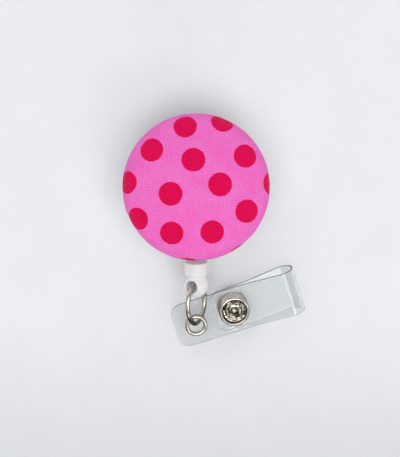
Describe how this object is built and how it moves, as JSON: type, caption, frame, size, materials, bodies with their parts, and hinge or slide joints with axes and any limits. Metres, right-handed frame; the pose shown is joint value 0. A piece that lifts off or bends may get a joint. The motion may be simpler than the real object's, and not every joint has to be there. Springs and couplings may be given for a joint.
{
  "type": "retractable badge reel",
  "caption": "Domed fabric-covered retractable badge reel with a cord end, wire link, clear snap strap for a badge and a swivel spring clip at the back.",
  "frame": {"origin": "on the spool axis, on the flat of the clip that the reel lies on", "axes": "+Z out of the fabric button, -Y the way the cord leaves, +X to the right seen from the front"},
  "size_m": [0.0476, 0.0605, 0.0234],
  "materials": {
    "cotton_print": "woven cotton, pink with crimson dots",
    "shell_metal": "plain",
    "adhesive": "matt",
    "case_plastic": "moulded, satin",
    "spool_plastic": "moulded",
    "spring_steel": "blued",
    "nylon_cord": "braided",
    "cord_end_plastic": "milky, glossy",
    "nickel": "bright nickel plate",
    "clip_steel": "bright plate on pressed steel",
    "clear_vinyl": "clear, soft, glossy"
  },
  "bodies": {
    "case": {"fabric_cover": "cotton_print", "button_shell": "shell_metal", "button_back_plate": "shell_metal", "adhesive_pad": "adhesive", "front_case": "case_plastic", "rear_case": "case_plastic", "cord_lead": "nylon_cord", "power_spring": "spring_steel"},
    "spool": {"spool": "spool_plastic", "cord_coil": "nylon_cord"},
    "cord": {"cord_tail": "nylon_cord"},
    "cord_end": {"cord_end": "cord_end_plastic"},
    "link": {"link_ring": "nickel"},
    "strap": {"strap_front_leaf": "clear_vinyl", "strap_eyelet": "nickel", "snap_post": "nickel", "snap_socket": "nickel"},
    "flap": {"strap_back_leaf": "clear_vinyl", "snap_stud": "nickel", "snap_cap": "nickel"},
    "clip": {"swivel_rivet": "nickel", "swivel_washer": "spool_plastic", "clip_base": "clip_steel", "clip_pin": "nickel", "clip_spring": "spring_steel"},
    "lever": {"clip_lever": "clip_steel"}
  },
  "joints": [
    {"name": "cord_pull", "type": "slide", "parent": "case", "child": "cord", "axis": [0, -1, 0], "range_m": [0, 0.86]},
    {"name": "spool_spin", "type": "hinge", "parent": "case", "child": "spool", "pos_m": [0, 0, 0.0105], "axis": [0, 0, 1], "range_deg": [-4800, 0], "deforming": ["power_spring"]},
    {"name": "cord_end_spin", "type": "hinge", "parent": "cord", "child": "cord_end", "pos_m": [0, -0.02535, 0.00882], "axis": [0, -0.9648, -0.263], "continuous": true},
    {"name": "link_swing", "type": "hinge", "parent": "cord_end", "child": "link", "pos_m": [0, -0.02535, 0.00882], "axis": [-0.5, -0.2278, 0.8355], "range_deg": [-60, 25]},
    {"name": "strap_swing", "type": "hinge", "parent": "link", "child": "strap", "pos_m": [0, -0.03587, 0.00596], "axis": [0.1078, -0.3418, 0.9336], "range_deg": [-108, 3]},
    {"name": "strap_open", "type": "hinge", "parent": "strap", "child": "flap", "pos_m": [0.02312, -0.02617, 0.00248], "axis": [0.2807, -0.8904, -0.3584], "range_deg": [0, 120]},
    {"name": "clip_swivel", "type": "hinge", "parent": "case", "child": "clip", "pos_m": [0, 0, 0.0065], "axis": [0, 0, 1], "continuous": true},
    {"name": "clip_jaw", "type": "hinge", "parent": "clip", "child": "lever", "pos_m": [0, 0.0055, 0.0029], "axis": [1, 0, 0], "range_deg": [0, 22], "stiffness_Nm_per_rad": 0.02, "springref_deg": -28.65, "deforming": ["clip_spring"]}
  ],
  "couplings": [
    {"joint": "spool_spin", "follows": "cord_pull", "rad_per_m": -97.04}
  ]
}
